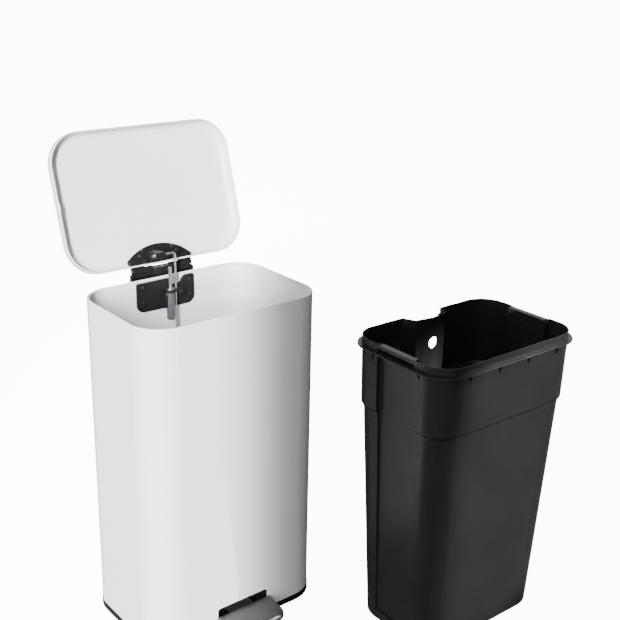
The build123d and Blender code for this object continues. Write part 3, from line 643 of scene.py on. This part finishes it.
def finish_node(node, body, slot, edge, name):
    """Piece with the CAD node's shape, its flat faces joined up and its sharp edges rounded."""
    bm = bmesh.new()
    bm.from_mesh(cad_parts[node].data)
    bmesh.ops.scale(bm, vec=Vector((1, 1, 1)) / MM, verts=bm.verts)
    bmesh.ops.remove_doubles(bm, verts=bm.verts, dist=MERGE)
    bmesh.ops.dissolve_limit(bm, angle_limit=radians(FLAT_ANGLE), verts=bm.verts, edges=bm.edges)
    bmesh.ops.recalc_face_normals(bm, faces=bm.faces)
    obj = to_object(bm, name)
    smooth(obj, edge)
    return place_piece(obj, body, slot, node)


FINISHED = [   # CAD node, body, slot, rounding of its edges in millimetres
    ("base_tray", "can", "black_plastic", 0.5), ("slot_frame", "can", "black_plastic", 0.4),
    ("hinge_plate", "can", "black_plastic", 0.3), ("hinge_housing", "can", "black_plastic", 0.5),
    ("rod_guide", "can", "black_plastic", 0.4), ("damper_holder", "can", "black_plastic", 0.5),
    ("damper_gland", "can", "black_plastic", 0.4), ("bearing_blocks", "can", "black_plastic", 0.5),
    ("damper_cylinder", "can", "grey_plastic", 0.2), ("damper_cap", "can", "grey_plastic", 0.1),
    ("damper_ring", "can", "bright_steel", 0.2), ("hinge_pin", "can", "bright_steel", 0.2),
    ("hinge_rivets", "can", "black_steel", 0.15), ("base_feet", "can", "rubber", 0.3),
    ("lever_bumper", "can", "rubber", 0.5), ("lever_axle", "can", "zinc_steel", 0.3),
    ("axle_clips", "can", "zinc_steel", 0.15), ("base_screws", "can", "zinc_steel", 0.2),
    ("block_screws", "can", "zinc_steel", 0.2), ("lid_bracket", "lid", "black_plastic", 0.5),
    ("lid_doubler", "lid", "white_paint", 0.2), ("bracket_screws", "lid", "black_steel", 0.2),
    ("lid_bumpers", "lid", "soft_white", 0.4), ("lift_rod", "rod", "bright_steel", 0.3),
    ("rod_clips", "rod", "bright_steel", 0.15), ("damper_rod", "piston", "bright_steel", 0.2),
    ("pedal_lever", "pedal", "black_steel", 0.4), ("pedal_cap", "pedal", "satin_steel", 0.3),
    ("pedal_pad", "pedal", "black_plastic", 0.4), ("pedal_screws", "pedal", "zinc_steel", 0.2),
]


# ------------------------------------------------------------------ stage, light and camera

WORLD_LEFT = 1.3          # strength of the surroundings at the left ...
WORLD_RIGHT = 0.07        # ... and at the right
WORLD_BELOW = 0.25        # share of that light that comes from under the horizon
WORLD_SPAN_X = (-0.7, 0.2)                    # where the surroundings change from left to right ...
WORLD_SPAN_Z = (-0.5, 0.1)                    # ... and from low to high, in the direction's X and Z
KEY_AIM = Vector((0.67, 0.69, 0.0))
KEY_DROPS = (-0.08, -0.22, -0.36, -0.50)      # slopes of the key's boxes
KEY_EDGE = 104.0          # how far right of the can's middle the key's beam reaches, square to it
KEY_MIDDLE_Z = 480
KEY_DISTANCE = 1800
KEY_SIZE = (900.0, 2200)
KEY_SPREAD = 6.0
KEY_POWER = 6.8           # of each of the key's boxes
FILL_AIM = Vector((-0.6, 0.78, -0.5))
FILL_AT = BUCKET_AT + Vector((40, -120, 320))
FILL_DISTANCE = 1500
FILL_SIZE = (260, 560)
FILL_SPREAD = 4
FILL_POWER = 2.2
TOP_AIM = (0.1, 0.15, -1.0)
TOP_ANGLE = 70
TOP_POWER = 0.7
BACK_AIM = (-0.75, -0.6, -0.35)
BACK_ANGLE = 50
BACK_POWER = 0.8
FLOOR_SIZE = 25000.0
FLOOR_Z = -0.2
FLOOR_GLOW = 12.0
CAMERA_AZIMUTH = -39.0
CAMERA_ELEVATION = 19.8
CAMERA_ROLL = 1.2
CAMERA_DISTANCE = 2133.8
CAMERA_TARGET = Vector((261.9, 0.0, 567.7))
CAMERA_LENS = 60.54
CAMERA_SENSOR = 36.0


def make_floor():
    """Wide pale floor with pale walls far off. It glows, as a light table does, so that the object stands
    before plain white, and it neither lights the object nor shades it."""
    bm = bmesh.new()
    corners = [(-FLOOR_SIZE, -FLOOR_SIZE), (FLOOR_SIZE, -FLOOR_SIZE), (FLOOR_SIZE, FLOOR_SIZE),
               (-FLOOR_SIZE, FLOOR_SIZE)]
    rings = [[Vector((x, y, z)) for x, y in corners] for z in (FLOOR_Z, FLOOR_SIZE)]
    add_rings(bm, rings, cap_first=True)
    floor = to_object(bm, "floor")
    mat, nodes, links, shader = new_material("floor_paper")
    colour = tint(nodes, links, noise(nodes, links, 3.0), (0.90, 0.90, 0.90), (0.92, 0.92, 0.92))
    links.new(colour, shader.inputs["Base Color"])
    shader.inputs["Roughness"].default_value = 0.9
    shader.inputs["Specular IOR Level"].default_value = 0.1
    shader.inputs["Emission Color"].default_value = (1.0, 1.0, 1.0, 1)
    shader.inputs["Emission Strength"].default_value = FLOOR_GLOW
    floor.data.materials.append(mat)
    floor.visible_diffuse = False
    floor.visible_glossy = False
    floor.visible_shadow = False


def aim(direction, roll=0.0):
    """Rotation matrix of a light or camera that looks along direction, turned by roll degrees."""
    back = -direction.normalized()
    right = direction.cross(Vector((0, 0, 1))).normalized()
    up = back.cross(right)
    turn = radians(roll)
    turned_right = right * cos(turn) + up * sin(turn)
    turned_up = up * cos(turn) - right * sin(turn)
    return Matrix((turned_right, turned_up, back)).transposed().to_4x4()


def add_light(name, data, matrix):
    """Light with its data, put in place."""
    light = bpy.data.objects.new(name, data)
    bpy.context.scene.collection.objects.link(light)
    light.matrix_world = matrix


def soft_sun(name, direction, angle, strength):
    """Broad even light that shines along direction; angle is its width in degrees."""
    data = bpy.data.lights.new(name, "SUN")
    data.angle = radians(angle)
    data.energy = strength
    add_light(name, data, aim(Vector(direction)))


def soft_box(name, target, distance, direction, size, spread, power):
    """Gridded soft box that shines along direction at target; its light fans out by spread degrees."""
    data = bpy.data.lights.new(name, "AREA")
    data.shape = "RECTANGLE"
    data.size = size[0] * MM
    data.size_y = size[1] * MM
    data.spread = radians(spread)
    data.energy = power
    direction = direction.normalized()
    place = target - direction * distance
    add_light(name, data, Matrix.Translation(place * MM) @ aim(direction))


def make_world():
    """Studio surroundings that darken to the right and towards the ground."""
    world = bpy.data.worlds.new("studio")
    world.use_nodes = True
    nodes = world.node_tree.nodes
    links = world.node_tree.links
    coords = nodes.new("ShaderNodeTexCoord")
    parts = nodes.new("ShaderNodeSeparateXYZ")
    links.new(coords.outputs["Generated"], parts.inputs["Vector"])
    strengths = (WORLD_LEFT, WORLD_RIGHT)
    sideways = remap(nodes, links, parts.outputs["X"], WORLD_SPAN_X, strengths, "SMOOTHSTEP")
    upwards = remap(nodes, links, parts.outputs["Z"], WORLD_SPAN_Z, (WORLD_BELOW, 1.0))
    product = nodes.new("ShaderNodeMath")
    product.operation = "MULTIPLY"
    links.new(sideways, product.inputs[0])
    links.new(upwards, product.inputs[1])
    links.new(product.outputs["Value"], nodes["Background"].inputs["Strength"])
    nodes["Background"].inputs["Color"].default_value = (1.0, 1.0, 1.0, 1)
    bpy.context.scene.world = world


def make_light():
    """Key from the front left that fades out over the right end of the can's front, a fill on the
    bucket's front from the right, and soft light from above and from behind."""
    across = KEY_AIM.cross(Vector((0, 0, 1))).normalized()
    middle = Vector((0, 0, KEY_MIDDLE_Z)) + across * (KEY_EDGE - KEY_SIZE[0] / 2)
    for number, drop in enumerate(KEY_DROPS):
        direction = KEY_AIM + Vector((0, 0, drop))
        soft_box(f"key_{number}", middle, KEY_DISTANCE, direction, KEY_SIZE, KEY_SPREAD, KEY_POWER)
    soft_box("fill", FILL_AT, FILL_DISTANCE, FILL_AIM, FILL_SIZE, FILL_SPREAD, FILL_POWER)
    soft_sun("top", TOP_AIM, TOP_ANGLE, TOP_POWER)
    soft_sun("back", BACK_AIM, BACK_ANGLE, BACK_POWER)


def make_camera():
    """Camera above the front left, as the object is usually pictured."""
    azimuth = radians(CAMERA_AZIMUTH)
    elevation = radians(CAMERA_ELEVATION)
    back = Vector((sin(azimuth) * cos(elevation), -cos(azimuth) * cos(elevation), sin(elevation)))
    data = bpy.data.cameras.new("camera")
    data.sensor_width = CAMERA_SENSOR
    data.lens = CAMERA_LENS
    data.clip_start = 0.05
    data.clip_end = 60.0
    camera = bpy.data.objects.new("camera", data)
    bpy.context.scene.collection.objects.link(camera)
    place = CAMERA_TARGET + back * CAMERA_DISTANCE
    camera.matrix_world = Matrix.Translation(place * MM) @ aim(-back, CAMERA_ROLL)
    bpy.context.scene.camera = camera


make_camera()
make_world()
make_light()
make_floor()
make_shell()
make_seam()
make_lid()
make_bucket()
for node, body, slot, edge in FINISHED:
    finish_node(node, body, slot, edge, node + "_finished")
